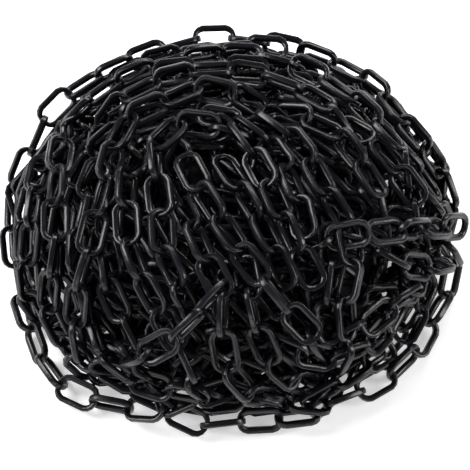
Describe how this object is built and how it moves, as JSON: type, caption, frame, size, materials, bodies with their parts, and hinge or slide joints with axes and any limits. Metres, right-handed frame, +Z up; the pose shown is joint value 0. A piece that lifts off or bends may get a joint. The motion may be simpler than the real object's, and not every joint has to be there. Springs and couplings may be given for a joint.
{
  "type": "heap of plastic barrier chain",
  "caption": "Dome-shaped heap of one long black plastic barrier chain, its oval links lying in arcs and loops over each other, with loose runs on the floor around it.",
  "frame": {"origin": "centre of the heap's outline on the floor it lies on", "axes": "+Z up from the floor, +X to the right as pictured and along the heap's longest extent, -Y towards the viewer"},
  "size_m": [0.4008, 0.3806, 0.1588],
  "materials": {
    "black_plastic": "black moulded polyethylene with a satin gloss",
    "core_plastic": "dark fill and inner strands of the same chain inside the heap"
  },
  "bodies": {
    "root": {"core": "core_plastic", "outline_run": "black_plastic", "rear_run_outer": "black_plastic", "rear_run_inner": "black_plastic", "left_edge_run": "black_plastic", "left_run_outer": "black_plastic", "left_run": "black_plastic", "crown_arch": "black_plastic", "inner_arch": "black_plastic", "centre_run_left": "black_plastic", "centre_run_middle": "black_plastic", "centre_run_right": "black_plastic", "right_run_inner": "black_plastic", "right_run_outer": "black_plastic", "right_floor_run": "black_plastic", "front_floor_run": "black_plastic", "middle_left_run": "black_plastic", "front_run_middle": "black_plastic", "low_centre_run": "black_plastic", "front_run_low": "black_plastic", "front_run_right": "black_plastic", "lower_left_run": "black_plastic", "lower_crossing_run": "black_plastic", "right_loose_run": "black_plastic", "right_crossing_run": "black_plastic", "right_spur": "black_plastic", "back_run_low": "black_plastic", "back_run_high": "black_plastic"}
  },
  "joints": []
}
